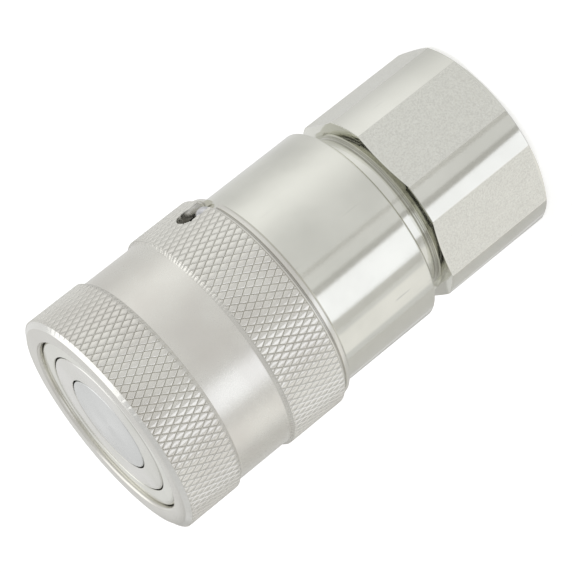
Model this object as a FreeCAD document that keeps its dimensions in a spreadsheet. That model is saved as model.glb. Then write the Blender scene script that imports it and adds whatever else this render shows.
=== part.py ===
"""Female half of a flat face quick coupler, disconnected, with its locking sleeve held back.

The coupler stands on its adapter's rear face. +Z runs along its axis to the flat coupling
face, and +X points to the ball that keys the locking sleeve. Lengths are in millimetres.
"""
import FreeCAD, Part
import math
import os

import Sketcher
from FreeCAD import Vector

SIZES = {
    # Adapter: wrench hexagon, neck, spigot and pipe thread
    "hexagon_across": 32.0,
    "corner_height": 0.95,
    "hexagon_length": 20.9,
    "front_cone_width": 1.9,
    "rear_cone_width": 1.1,
    "cone_length": 0.6,
    "hexagon_turn": 47.0,
    "neck_relief": 0.25,
    "neck_gap": 3.1,
    "port_bore": 18.64,
    "port_depth": 15.0,
    "mouth_width": 1.28,
    "passage_shoulder": 1.72,
    "passage_length": 9.0,
    "outlet_shoulder": 1.0,
    "mouth_depth": 1.2,
    "step_slope": 0.6,
    # Thread and socket that join adapter and body
    "joint_thread_rise": 0.55,
    "joint_thread_length": 6.5,
    "thread_relief": 1.2,
    "thread_runout": 0.3,
    "joint_socket_rise": 0.7,
    "socket_length": 9.0,
    "joint_clearance": 0.05,
    "entry_chamfer": 0.8,
    # Body and nose
    "shoulder_width": 2.15,
    "body_edge": 0.4,
    "skirt_length": 23.0,
    "nose_wall": 2.85,
    "nose_length": 26.9,
    "nose_bore": 24.6,
    "nose_edge": 0.3,
    "lead_in_width": 0.9,
    "lead_in_depth": 0.7,
    "valve_stop_depth": 15.9,
    "chamber_step": 0.7,
    # Locking balls and the wire ring
    "ball_count": 12,
    "ball_diameter": 4.0,
    "ball_setback": 7.1,
    "ball_clearance": 0.05,
    "ball_lip": 0.35,
    "ball_lip_width": 0.2,
    "cutter_overrun": 1.0,
    "ring_wire": 1.4,
    "ring_setback": 3.9,
    "ring_proud": 0.7,
    "ring_groove_extra": 0.5,
    "ring_play": 0.1,
    "ring_gap_angle": 14.0,
    # Locking sleeve
    "sleeve_overlap": 4.9,
    "sleeve_step": 0.6,
    "band_height": 0.6,
    "waist_wall": 1.0,
    "sleeve_clearance": 0.15,
    "front_bevel_width": 1.1,
    "front_bevel_length": 0.6,
    "front_band_end": 9.7,
    "waist_start": 10.4,
    "waist_end": 19.85,
    "rear_band_start": 20.45,
    "rear_chamfer": 2.1,
    "rear_lip": 0.25,
    "rim_edge": 0.3,
    "rim_length": 1.3,
    "recess_depth": 1.3,
    "spring_pocket_depth": 16.0,
    # Key ball and its slot
    "key_ball": 3.0,
    "key_sink": 0.1,
    "key_inset": 2.1,
    "slot_width": 3.6,
    "slot_travel": 4.2,
    # Sleeve spring and its washer
    "sleeve_wire": 1.5,
    "sleeve_coil_gap": 0.45,
    "sleeve_turns": 4.0,
    "washer_thickness": 0.8,
    "washer_clearance": 0.2,
    "face_gap": 0.05,
    # Valve sleeve and its spring
    "valve_clearance": 0.1,
    "valve_flange": 4.0,
    "valve_land": 5.0,
    "valve_wall": 1.6,
    "valve_edge": 0.3,
    "valve_wire": 1.8,
    "valve_coil_gap": 0.2,
    "valve_turns": 7.5,
    "coil_closeness": 1.06,
    # Stem, washer and nut
    "head_diameter": 16.0,
    "head_length": 5.0,
    "head_taper": 3.2,
    "head_edge": 0.2,
    "shank_diameter": 7.0,
    "collar_diameter": 9.2,
    "collar_length": 2.0,
    "tail_diameter": 6.0,
    "tail_proud": 1.0,
    "nut_across": 10.0,
    "nut_height": 5.0,
    "nut_bevel_width": 0.7,
    "nut_bevel_length": 0.4,
    "lock_washer_diameter": 10.4,
    "lock_washer_thickness": 0.8,
    "bolt_clearance": 0.1,
    # Flow spider
    "spider_thickness": 4.0,
    "spider_edge": 0.4,
    "window_count": 3,
    "window_margin": 0.3,
    "arm_width": 2.0,
    # Seals
    "nose_seal": 1.7,
    "nose_backup": 1.1,
    "nose_seal_setback": 10.6,
    "joint_seal": 1.8,
    "joint_backup": 0.9,
    "joint_seal_setback": 1.3,
    "stem_seal_width": 1.8,
    "stem_seal_depth": 1.1,
    "stem_seal_setback": 1.8,
    "seal_gap": 0.02,
    "seal_play": 0.05,
}


class Length:
    """A number together with the sheet formula that gives it."""

    def __init__(self, value, formula):
        self.value = float(value)
        self.formula = formula

    @staticmethod
    def of(other):
        """Return other as a Length, whether it is one or a plain number."""
        return other if isinstance(other, Length) else Length(other, repr(other))

    def __add__(self, other):
        other = Length.of(other)
        return Length(self.value + other.value, f"({self.formula} + {other.formula})")

    def __sub__(self, other):
        other = Length.of(other)
        return Length(self.value - other.value, f"({self.formula} - {other.formula})")

    def __mul__(self, other):
        other = Length.of(other)
        return Length(self.value * other.value, f"({self.formula} * {other.formula})")

    def __truediv__(self, other):
        other = Length.of(other)
        return Length(self.value / other.value, f"({self.formula} / {other.formula})")


doc = FreeCAD.newDocument("FlatFaceCoupler")
sheet = doc.addObject("Spreadsheet::Sheet", "Sizes")
for row, (word, number) in enumerate(SIZES.items(), start=1):
    sheet.set(f"A{row}", word)
    sheet.set(f"B{row}", str(number))
    sheet.setAlias(f"B{row}", word)
doc.recompute()
size = {word: Length(number, f"Sizes.{word}") for word, number in SIZES.items()}
ZERO = Length(0.0, "0")
ARCS_PER_TURN = 4
parts = []


def radius(word):
    """Return half of a diameter in the sheet."""
    return size[word] / 2


def cosine(degrees):
    """Return the cosine of an angle, as a number with its formula."""
    return Length(math.cos(math.radians(degrees.value)), f"cos({degrees.formula} * 1 deg)")


def sine(degrees):
    """Return the sine of an angle, as a number with its formula."""
    return Length(math.sin(math.radians(degrees.value)), f"sin({degrees.formula} * 1 deg)")


def bind(thing, prop, length):
    """Tie one property of an object to its formula."""
    thing.setExpression(prop, length.formula)


def keep(thing, label, height=ZERO, turn=None):
    """Name a finished sub-part, set it at its height and turn, and list it."""
    thing.Label = label
    bind(thing, "Placement.Base.z", height)
    if turn is not None:
        thing.setExpression("Placement.Rotation.Angle", turn)
    parts.append(thing)
    return thing


def origin_plane(body, role):
    """Return one of a body's own origin planes."""
    return next(plane for plane in body.Origin.OriginFeatures if plane.Role == role)


def new_sketch(body, name, role):
    """Add an empty sketch on one of a body's origin planes."""
    sketch = body.newObject("Sketcher::SketchObject", name)
    sketch.AttachmentSupport = [(origin_plane(body, role), "")]
    sketch.MapMode = "FlatFace"
    return sketch


def pin_point(sketch, geometry, vertex, across, upward):
    """Fix a sketch point at two distances from the origin."""
    for kind, axis, length in (("DistanceX", -2, across), ("DistanceY", -1, upward)):
        if length is ZERO:
            sketch.addConstraint(Sketcher.Constraint("PointOnObject", geometry, vertex, axis))
            continue
        number = sketch.addConstraint(
            Sketcher.Constraint(kind, -1, 1, geometry, vertex, length.value))
        sketch.setExpression(f"Constraints[{number}]", length.formula)


def draw_outline(sketch, points):
    """Draw a closed outline of straight lines through points that formulas give."""
    corners = [Vector(across.value, upward.value, 0) for across, upward in points]
    count = len(corners)
    sketch.addGeometry([Part.LineSegment(corners[i], corners[(i + 1) % count])
                        for i in range(count)])
    sketch.addConstraint([Sketcher.Constraint("Coincident", i, 2, (i + 1) % count, 1)
                          for i in range(count)])
    for i, (across, upward) in enumerate(points):
        pin_point(sketch, i, 1, across, upward)


def turned(name, points):
    """Make a body by turning an outline of (radius, height) points about its axis."""
    body = doc.addObject("PartDesign::Body", name)
    sketch = new_sketch(body, name + "_outline", "XZ_Plane")
    draw_outline(sketch, points)
    feature = body.newObject("PartDesign::Revolution", name + "_turned")
    feature.Profile = sketch
    feature.ReferenceAxis = (sketch, ["V_Axis"])
    feature.Angle = 360
    sketch.Visibility = False
    return body


def radial_cut(body, name, points, height):
    """Cut a hole along +X: points are (distance from the axis, hole radius) pairs."""
    sketch = new_sketch(body, name + "_outline", "XZ_Plane")
    draw_outline(sketch, [(across, height + rise) for across, rise in points])
    axis = sketch.addGeometry(
        Part.LineSegment(Vector(0, height.value, 0), Vector(points[0][0].value, height.value, 0)),
        True)
    pin_point(sketch, axis, 1, ZERO, height)
    pin_point(sketch, axis, 2, points[0][0], height)
    groove = body.newObject("PartDesign::Groove", name)
    groove.Profile = sketch
    groove.ReferenceAxis = (sketch, ["Axis0"])
    groove.Angle = 360
    return groove


def polar_pattern(body, feature, count_word):
    """Repeat a feature evenly about the body's axis."""
    pattern = body.newObject("PartDesign::PolarPattern", feature.Name + "_pattern")
    pattern.Originals = [feature]
    z_axis = next(line for line in body.Origin.OriginFeatures if line.Role == "Z_Axis")
    pattern.Axis = (z_axis, [""])
    pattern.Angle = 360
    pattern.setExpression("Occurrences", f"Sizes.{count_word}")
    body.Tip = pattern
    return pattern


def cut_hexagon(blank, name, across, length):
    """Return a turned blank with six flats milled along it."""
    prism = doc.addObject("Part::Prism", name + "_flats")
    prism.Polygon = 6
    bind(prism, "Circumradius", across / math.sqrt(3))
    bind(prism, "Height", length)
    flats = doc.addObject("Part::Common", name)
    flats.Base = blank
    flats.Tool = prism
    return flats


def ring_seal(label, inside, section, height):
    """Make a round-section ring that fills its groove from the inside radius outwards."""
    ring = doc.addObject("Part::Torus", label)
    bind(ring, "Radius1", inside + section / 2)
    bind(ring, "Radius2", section / 2 - size["seal_gap"])
    return keep(ring, label, height)


def flat_ring(label, inside, outside, thickness, height):
    """Make a flat ring that stands on its height."""
    ring = turned(label, [
        (inside, ZERO),
        (outside, ZERO),
        (outside, thickness),
        (inside, thickness),
    ])
    return keep(ring, label, height)


def coil_spring(label, coil_radius, wire, turns, length, height):
    """Wind a compression spring whose coils lie close together at both ends.

    The centre line is a chain of arcs, and its ends lie half a wire inside the length.
    """
    rise = (length - wire).value
    count = turns.value
    first_turn = wire.value * SIZES["coil_closeness"]
    sway = (1 / count - first_turn / rise) / math.sin(2 * math.pi / count)

    def line_point(turn):
        share = turn / count
        lift = rise * (share - sway * math.sin(2 * math.pi * share))
        angle = 2 * math.pi * turn
        return Vector(coil_radius.value * math.cos(angle), coil_radius.value * math.sin(angle),
                      wire.value / 2 + lift)

    steps = round(count * ARCS_PER_TURN)
    step = count / steps
    arcs = [Part.Arc(line_point(i * step), line_point((i + 0.5) * step),
                     line_point((i + 1) * step)).toShape() for i in range(steps)]
    start = arcs[0].tangentAt(arcs[0].FirstParameter)
    section = Part.Circle(line_point(0), start, wire.value / 2).toShape()
    spring = doc.addObject("Part::Feature", label)
    spring.Shape = Part.Wire(arcs).makePipe(Part.Face(Part.Wire([section])))
    return keep(spring, label, height)


# Heights in the coupler, from the adapter's rear face
body_rear = size["hexagon_length"] + size["neck_gap"]
body_length = size["skirt_length"] + size["nose_length"]
shoulder = body_rear + size["skirt_length"]
nose_face = body_rear + body_length
sleeve_face = nose_face + size["sleeve_step"]
sleeve_rear = shoulder - size["sleeve_overlap"]
sleeve_length = sleeve_face - sleeve_rear
spring_pocket = sleeve_face - size["spring_pocket_depth"]
ball_height = nose_face - size["ball_setback"]
ring_height = nose_face - size["ring_setback"]
key_height = shoulder - size["key_inset"]
slot_tip = key_height + size["slot_travel"]
spider_seat = body_rear + size["joint_thread_length"] + size["socket_length"]
spigot_end = spider_seat - size["spider_thickness"]
nut_front = spigot_end - size["lock_washer_thickness"]
nut_rear = nut_front - size["nut_height"]
tail_end = nut_rear - size["tail_proud"]
valve_front_step = nose_face - size["valve_land"]
valve_rear = nose_face - size["valve_stop_depth"] - size["face_gap"] - size["valve_flange"]

# Radii that several pieces share, from the nose bore outwards
ball_radius = radius("ball_diameter")
nose_radius = radius("nose_bore") + size["nose_wall"]
body_radius = nose_radius + size["shoulder_width"]
chamber_radius = radius("nose_bore") + size["chamber_step"]
socket_radius = chamber_radius + size["joint_socket_rise"]
thread_radius = socket_radius + size["joint_thread_rise"]
neck_radius = thread_radius - size["neck_relief"]
passage_radius = radius("port_bore") - size["passage_shoulder"]
outlet_radius = passage_radius + size["outlet_shoulder"]
ball_circle = radius("nose_bore") + ball_radius + size["ball_clearance"]
ring_circle = nose_radius + size["ring_proud"] - size["ring_wire"] / 2
key_radius = radius("key_ball")
key_circle = body_radius - size["key_sink"]
sleeve_bore = body_radius + size["sleeve_clearance"]
sleeve_land = nose_radius + size["sleeve_clearance"]
recess_radius = sleeve_land + size["recess_depth"]
waist_radius = sleeve_bore + size["waist_wall"]
band_radius = waist_radius + size["band_height"]
spigot_radius = socket_radius - size["joint_clearance"]
joint_floor = socket_radius - size["joint_seal"]
nose_floor = radius("nose_bore") + size["nose_seal"]
stem_floor = radius("head_diameter") - size["stem_seal_depth"]
valve_outside = radius("nose_bore") - size["valve_clearance"]
valve_inside = valve_outside - size["valve_wall"]

# Seal grooves: a ring, its backup ring and a little play
joint_groove_front = spigot_end - size["joint_seal_setback"]
joint_groove_width = size["joint_seal"] + size["joint_backup"] + size["seal_play"] * 3
joint_groove_rear = joint_groove_front - joint_groove_width
nose_groove_front = nose_face - size["nose_seal_setback"]
nose_groove_width = size["nose_seal"] + size["nose_backup"] + size["seal_play"] * 3
stem_groove_front = nose_face - size["stem_seal_setback"]
stem_groove_rear = stem_groove_front - size["stem_seal_width"]


def make_adapter():
    """Turn the adapter, with its port, neck and spigot, and mill its wrench flats."""
    outside = radius("hexagon_across") + size["corner_height"]
    thread = thread_radius - size["joint_clearance"]
    thread_start = body_rear + size["thread_relief"]
    thread_end = body_rear + size["joint_thread_length"] - size["thread_runout"]
    port_step = size["passage_shoulder"] * size["step_slope"]
    outlet_step = size["outlet_shoulder"] * size["step_slope"]
    passage_end = size["port_depth"] + size["passage_length"]
    blank = turned("adapter_blank", [
        (radius("port_bore") + size["mouth_width"], ZERO),
        (outside - size["rear_cone_width"], ZERO),
        (outside, size["cone_length"]),
        (outside, size["hexagon_length"] - size["cone_length"]),
        (outside - size["front_cone_width"], size["hexagon_length"]),
        (neck_radius, size["hexagon_length"]),
        (neck_radius, thread_start),
        (thread, thread_start),
        (thread, thread_end),
        (spigot_radius, thread_end),
        (spigot_radius, joint_groove_rear),
        (joint_floor, joint_groove_rear),
        (joint_floor, joint_groove_front),
        (spigot_radius, joint_groove_front),
        (spigot_radius, spigot_end - size["spider_edge"]),
        (spigot_radius - size["spider_edge"], spigot_end),
        (outlet_radius, spigot_end),
        (outlet_radius, passage_end + outlet_step),
        (passage_radius, passage_end),
        (passage_radius, size["port_depth"] + port_step),
        (radius("port_bore"), size["port_depth"]),
        (radius("port_bore"), size["mouth_depth"]),
    ])
    adapter = cut_hexagon(blank, "adapter", size["hexagon_across"], spigot_end)
    return keep(adapter, "adapter", turn="Sizes.hexagon_turn")


def make_body():
    """Turn the body, drill its ring of ball holes and the seat of the key ball."""
    outside = body_radius
    nose = nose_radius
    bore = radius("nose_bore")
    thread = thread_radius
    groove = ring_circle - size["ring_wire"] / 2 - size["ring_groove_extra"]
    groove_half = size["ring_wire"] / 2 + size["ring_play"]
    ring_level = body_length - size["ring_setback"]
    seal_front = body_length - size["nose_seal_setback"]
    seal_rear = seal_front - nose_groove_width
    stop = body_length - size["valve_stop_depth"]
    seat = size["joint_thread_length"] + size["socket_length"]
    body = turned("body", [
        (thread + size["entry_chamfer"], ZERO),
        (outside - size["body_edge"], ZERO),
        (outside, size["body_edge"]),
        (outside, size["skirt_length"] - size["body_edge"]),
        (outside - size["body_edge"], size["skirt_length"]),
        (nose, size["skirt_length"]),
        (nose, ring_level - groove_half),
        (groove, ring_level - groove_half),
        (groove, ring_level + groove_half),
        (nose, ring_level + groove_half),
        (nose, body_length - size["nose_edge"]),
        (nose - size["nose_edge"], body_length),
        (bore + size["lead_in_width"], body_length),
        (bore, body_length - size["lead_in_depth"]),
        (bore, seal_front),
        (nose_floor, seal_front),
        (nose_floor, seal_rear),
        (bore, seal_rear),
        (bore, stop),
        (chamber_radius, stop),
        (chamber_radius, seat),
        (socket_radius, seat),
        (socket_radius, size["joint_thread_length"]),
        (thread, size["joint_thread_length"]),
        (thread, size["entry_chamfer"]),
    ])
    hole = ball_radius + size["ball_clearance"]
    lip = hole - size["ball_lip_width"]
    lip_end = bore + size["ball_lip"]
    inner_end = bore - size["cutter_overrun"]
    ball_hole = radial_cut(body, "ball_hole", [
        (inner_end, ZERO),
        (inner_end, lip),
        (lip_end, lip),
        (lip_end + hole - lip, hole),
        (nose + size["cutter_overrun"], hole),
        (nose + size["cutter_overrun"], ZERO),
    ], body_length - size["ball_setback"])
    polar_pattern(body, ball_hole, "ball_count")
    seat_radius = key_radius + size["ball_clearance"]
    radial_cut(body, "key_seat", [
        (key_circle - seat_radius, ZERO),
        (key_circle - seat_radius, seat_radius),
        (outside + size["cutter_overrun"], seat_radius),
        (outside + size["cutter_overrun"], ZERO),
    ], key_height - body_rear)
    return keep(body, "body", body_rear)


def make_locking_sleeve():
    """Turn the locking sleeve and mill the slot that the key ball runs in."""
    length = sleeve_length
    outside = band_radius
    waist = waist_radius
    recess_front = length - size["rim_length"]
    contact = (ball_radius + size["ball_clearance"]) * math.sqrt(2)
    recess_rear = ball_height + recess_radius - ball_circle - contact - sleeve_rear
    pocket = length - size["spring_pocket_depth"]
    sleeve = turned("locking_sleeve", [
        (sleeve_bore, ZERO),
        (sleeve_bore + size["rear_lip"], ZERO),
        (outside, size["rear_chamfer"]),
        (outside, length - size["rear_band_start"]),
        (waist, length - size["waist_end"]),
        (waist, length - size["waist_start"]),
        (outside, length - size["front_band_end"]),
        (outside, length - size["front_bevel_length"]),
        (outside - size["front_bevel_width"], length),
        (sleeve_land + size["rim_edge"], length),
        (sleeve_land, length - size["rim_edge"]),
        (sleeve_land, recess_front),
        (recess_radius, recess_front),
        (recess_radius, recess_rear),
        (sleeve_land, recess_rear - (recess_radius - sleeve_land)),
        (sleeve_land, pocket),
        (sleeve_bore, pocket),
    ])
    half = size["slot_width"] / 2
    centre = slot_tip - sleeve_rear - half
    below = ZERO - size["cutter_overrun"]
    sketch = new_sketch(sleeve, "slot_outline", "YZ_Plane")
    end_arc = Part.ArcOfCircle(
        Part.Circle(Vector(0, centre.value, 0), Vector(0, 0, 1), half.value), 0, math.pi)
    sketch.addGeometry([
        Part.LineSegment(Vector(half.value, below.value, 0), Vector(half.value, centre.value, 0)),
        end_arc,
        Part.LineSegment(Vector(-half.value, centre.value, 0), Vector(-half.value, below.value, 0)),
        Part.LineSegment(Vector(-half.value, below.value, 0), Vector(half.value, below.value, 0)),
    ])
    for first, second in ((0, 1), (1, 2), (2, 3), (3, 0)):
        sketch.addConstraint(Sketcher.Constraint("Coincident", first, 2, second, 1))
    pin_point(sketch, 0, 1, half, below)
    pin_point(sketch, 0, 2, half, centre)
    pin_point(sketch, 2, 1, ZERO - half, centre)
    pin_point(sketch, 2, 2, ZERO - half, below)
    level = sketch.addConstraint(Sketcher.Constraint("DistanceY", -1, 1, 1, 3, centre.value))
    sketch.setExpression(f"Constraints[{level}]", centre.formula)
    slot = sleeve.newObject("PartDesign::Pocket", "key_slot")
    slot.Profile = sketch
    slot.Type = 0
    slot.Reversed = True
    bind(slot, "Length", outside + size["cutter_overrun"])
    return keep(sleeve, "locking_sleeve", sleeve_rear)


def make_valve_sleeve():
    """Turn the valve sleeve: a flat front ring, a long skirt and a stop flange."""
    flange = chamber_radius - size["valve_clearance"]
    outside = valve_outside
    land = radius("head_diameter") + size["valve_clearance"]
    inside = valve_inside
    edge = size["valve_edge"]
    length = nose_face - valve_rear
    valve = turned("valve_sleeve", [
        (inside, ZERO),
        (flange - edge, ZERO),
        (flange, edge),
        (flange, size["valve_flange"]),
        (outside, size["valve_flange"]),
        (outside, length - edge),
        (outside - edge, length),
        (land, length),
        (land, length - size["valve_land"]),
        (inside, length - size["valve_land"]),
    ])
    return keep(valve, "valve_sleeve", valve_rear)


def make_stem():
    """Turn the fixed stem, from its threaded tail to its flat head."""
    head = radius("head_diameter")
    shank = radius("shank_diameter")
    tail = radius("tail_diameter")
    collar = radius("collar_diameter")
    head_rear = nose_face - size["head_length"] - tail_end
    face = nose_face - tail_end
    seat = spider_seat - tail_end
    edge = size["head_edge"]
    stem = turned("stem", [
        (ZERO, ZERO),
        (tail - edge, ZERO),
        (tail, edge),
        (tail, seat),
        (collar, seat),
        (collar, seat + size["collar_length"]),
        (shank, seat + size["collar_length"]),
        (shank, head_rear - size["head_taper"]),
        (head, head_rear),
        (head, stem_groove_rear - tail_end),
        (stem_floor, stem_groove_rear - tail_end),
        (stem_floor, stem_groove_front - tail_end),
        (head, stem_groove_front - tail_end),
        (head, face - edge),
        (head - edge, face),
        (ZERO, face),
    ])
    return keep(stem, "stem", tail_end)


def draw_window(sketch):
    """Draw one kidney window: two arcs about the axis, closed by round ends."""
    inner = radius("collar_diameter") + size["window_margin"]
    outer = outlet_radius - size["window_margin"]
    middle = (inner + outer) / 2
    cap = (outer - inner) / 2
    arm_share = (size["arm_width"] / 2 + cap) / middle * math.degrees(1)
    half = Length(180, "180") / size["window_count"] - arm_share
    half_angle = math.radians(half.value)
    cos_half = cosine(half)
    sin_half = sine(half)
    centre = Vector(0, 0, 0)
    normal = Vector(0, 0, 1)
    cap_x = (middle * cos_half).value
    cap_y = (middle * sin_half).value
    upper_cap = Part.Circle(Vector(cap_x, cap_y, 0), normal, cap.value)
    lower_cap = Part.Circle(Vector(cap_x, -cap_y, 0), normal, cap.value)
    sketch.addGeometry([
        Part.ArcOfCircle(Part.Circle(centre, normal, outer.value), -half_angle, half_angle),
        Part.ArcOfCircle(upper_cap, half_angle, half_angle + math.pi),
        Part.ArcOfCircle(Part.Circle(centre, normal, inner.value), -half_angle, half_angle),
        Part.ArcOfCircle(lower_cap, math.pi - half_angle, 2 * math.pi - half_angle),
    ])
    for arc, length in ((0, outer), (2, inner)):
        sketch.addConstraint(Sketcher.Constraint("Coincident", arc, 3, -1, 1))
        number = sketch.addConstraint(Sketcher.Constraint("Radius", arc, length.value))
        sketch.setExpression(f"Constraints[{number}]", length.formula)
    joints = ((0, 2, 1, 1), (1, 2, 2, 2), (2, 1, 3, 1), (3, 2, 0, 1))
    for first, first_end, second, second_end in joints:
        sketch.addConstraint(
            Sketcher.Constraint("Coincident", first, first_end, second, second_end))
    levels = [
        (0, 2, outer * sin_half),
        (0, 1, ZERO - outer * sin_half),
        (2, 2, inner * sin_half),
        (2, 1, ZERO - inner * sin_half),
        (1, 3, middle * sin_half),
        (3, 3, ZERO - middle * sin_half),
    ]
    for arc, vertex, length in levels:
        number = sketch.addConstraint(
            Sketcher.Constraint("DistanceY", -1, 1, arc, vertex, length.value))
        sketch.setExpression(f"Constraints[{number}]", length.formula)


def make_flow_spider():
    """Make the plate that carries the stem, with kidney windows for the flow."""
    edge = size["spider_edge"]
    bore = radius("tail_diameter") + size["bolt_clearance"]
    spider = turned("flow_spider", [
        (bore, ZERO),
        (spigot_radius - edge, ZERO),
        (spigot_radius, edge),
        (spigot_radius, size["spider_thickness"]),
        (bore, size["spider_thickness"]),
    ])
    sketch = new_sketch(spider, "window_outline", "XY_Plane")
    draw_window(sketch)
    window = spider.newObject("PartDesign::Pocket", "window")
    window.Profile = sketch
    window.Type = 0
    window.Reversed = True
    bind(window, "Length", size["spider_thickness"] + size["cutter_overrun"])
    polar_pattern(spider, window, "window_count")
    return keep(spider, "flow_spider", spigot_end)


def make_stem_nut():
    """Make the hexagon nut that holds the stem on the spider."""
    corner = size["nut_across"] / math.sqrt(3)
    bore = radius("tail_diameter") + size["seal_gap"]
    bevelled = corner - size["nut_bevel_width"]
    height = size["nut_height"]
    blank = turned("stem_nut_blank", [
        (bore, ZERO),
        (bevelled, ZERO),
        (corner, size["nut_bevel_length"]),
        (corner, height - size["nut_bevel_length"]),
        (bevelled, height),
        (bore, height),
    ])
    return keep(cut_hexagon(blank, "stem_nut", size["nut_across"], height), "stem_nut", nut_rear)


def make_balls():
    """Set the locking balls round the nose, and the key ball in the body's side."""
    count = int(SIZES["ball_count"])
    for number in range(count):
        ball = doc.addObject("Part::Sphere", f"locking_ball_{number + 1:02d}")
        bind(ball, "Radius", ball_radius)
        turn = f"({number} * 360 deg / Sizes.ball_count)"
        ball.setExpression("Placement.Base.x", f"{ball_circle.formula} * cos{turn}")
        ball.setExpression("Placement.Base.y", f"{ball_circle.formula} * sin{turn}")
        keep(ball, ball.Name, ball_height)
    ball = doc.addObject("Part::Sphere", "lock_ball")
    bind(ball, "Radius", key_radius)
    bind(ball, "Placement.Base.x", key_circle)
    keep(ball, "lock_ball", key_height)


def make_retaining_ring():
    """Bend the open wire ring that keeps the locking sleeve on the nose."""
    ring = doc.addObject("Part::Torus", "retaining_ring")
    bind(ring, "Radius1", ring_circle)
    bind(ring, "Radius2", size["ring_wire"] / 2)
    ring.setExpression("Angle3", "360 - Sizes.ring_gap_angle")
    return keep(ring, "retaining_ring", ring_height)


def make_springs():
    """Wind both springs, and set the washer that the sleeve's spring pushes on."""
    washer_rear = spring_pocket - size["washer_thickness"]
    washer_inside = nose_radius + size["washer_clearance"]
    washer_outside = sleeve_bore - size["washer_clearance"]
    flat_ring("sleeve_washer", washer_inside, washer_outside, size["washer_thickness"], washer_rear)
    sleeve_span = washer_rear - size["face_gap"] - shoulder
    sleeve_coil = nose_radius + size["sleeve_coil_gap"] + size["sleeve_wire"] / 2
    coil_spring("sleeve_spring", sleeve_coil, size["sleeve_wire"], size["sleeve_turns"],
                sleeve_span, shoulder)
    valve_span = valve_front_step - size["face_gap"] - spider_seat
    valve_coil = valve_inside - size["valve_coil_gap"] - size["valve_wire"] / 2
    coil_spring("valve_spring", valve_coil, size["valve_wire"], size["valve_turns"],
                valve_span, spider_seat)


def make_seals():
    """Lay the seals and their backup rings in their grooves, and the stem's washer."""
    gap = size["seal_gap"]
    play = size["seal_play"]
    nose_backup_rear = nose_groove_front - play - size["nose_backup"]
    ring_seal("nose_o_ring", radius("nose_bore"), size["nose_seal"],
              nose_backup_rear - play - size["nose_seal"] / 2)
    flat_ring("nose_backup_ring", radius("nose_bore"), nose_floor - gap, size["nose_backup"],
              nose_backup_rear)
    ring_seal("adapter_o_ring", joint_floor, size["joint_seal"],
              joint_groove_front - play - size["joint_seal"] / 2)
    flat_ring("adapter_backup_ring", joint_floor + gap, socket_radius - gap,
              size["joint_backup"], joint_groove_rear + play)
    flat_ring("stem_seal", stem_floor + gap, radius("head_diameter"),
              size["stem_seal_width"] - play * 2, stem_groove_rear + play)
    flat_ring("stem_washer", radius("tail_diameter") + size["bolt_clearance"],
              radius("lock_washer_diameter"), size["lock_washer_thickness"], nut_front)


def check_document():
    """Stop if any object failed, or if a sub-part's shape is empty or broken."""
    failed = [thing.Label for thing in doc.Objects
              if "Invalid" in thing.State or "Error" in thing.State]
    broken = [part.Label for part in parts if part.Shape.isNull() or not part.Shape.isValid()]
    if failed or broken:
        raise RuntimeError(f"failed objects {failed}, broken shapes {broken}")


make_adapter()
make_body()
make_locking_sleeve()
make_valve_sleeve()
make_stem()
make_flow_spider()
make_stem_nut()
make_balls()
make_retaining_ring()
make_springs()
make_seals()
doc.recompute()
check_document()

os.makedirs("parts", exist_ok=True)
for part in parts:
    part.Shape.exportStep(f"parts/{part.Label}.step")
    print(f"{part.Label}: {len(part.Shape.Solids)} solid, {part.Shape.Volume:.1f} mm3")
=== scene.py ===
"""Flat face quick coupler: the dressed visual model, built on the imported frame.

Lengths in the sub-assemblies are millimetres in the part's own frame, with +Z along the coupler's
axis towards the flat coupling face. They are turned into metres where a mesh is made.
"""
import logging
import math
from dataclasses import dataclass
from enum import Enum
from typing import Any, Callable, Sequence, Union

import bmesh
import bpy
from mathutils import Matrix, Vector


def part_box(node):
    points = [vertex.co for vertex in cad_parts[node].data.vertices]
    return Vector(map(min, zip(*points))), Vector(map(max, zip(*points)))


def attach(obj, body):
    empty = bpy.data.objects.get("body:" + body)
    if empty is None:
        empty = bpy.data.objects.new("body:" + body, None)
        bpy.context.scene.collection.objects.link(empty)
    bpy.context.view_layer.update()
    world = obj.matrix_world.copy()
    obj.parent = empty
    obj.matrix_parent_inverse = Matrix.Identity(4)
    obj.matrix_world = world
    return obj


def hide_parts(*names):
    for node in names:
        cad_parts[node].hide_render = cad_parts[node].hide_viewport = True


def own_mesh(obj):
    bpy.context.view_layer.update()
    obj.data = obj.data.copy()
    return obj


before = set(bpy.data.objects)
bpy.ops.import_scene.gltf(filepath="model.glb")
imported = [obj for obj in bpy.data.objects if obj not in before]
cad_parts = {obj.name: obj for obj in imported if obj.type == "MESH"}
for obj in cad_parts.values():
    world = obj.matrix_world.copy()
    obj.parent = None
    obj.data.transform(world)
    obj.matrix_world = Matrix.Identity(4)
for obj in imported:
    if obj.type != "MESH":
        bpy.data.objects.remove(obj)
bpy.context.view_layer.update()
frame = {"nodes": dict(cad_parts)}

logging.basicConfig(level=logging.INFO, format="%(message)s")
log = logging.getLogger("coupler")

MM = 0.001
FLOOR_GAP = 0.1
ProfilePoint = tuple[float, float]
RadiusAt = Callable[[float], float]


# Working with the modelling tools


def clear_selection() -> None:
    """Leave edit mode and deselect every object."""
    if bpy.context.object is not None and bpy.context.object.mode != "OBJECT":
        bpy.ops.object.mode_set(mode="OBJECT")
    bpy.ops.object.select_all(action="DESELECT")


def make_active(piece: bpy.types.Object) -> None:
    """Select one object alone and make it the active one."""
    clear_selection()
    piece.select_set(True)
    bpy.context.view_layer.objects.active = piece


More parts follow.
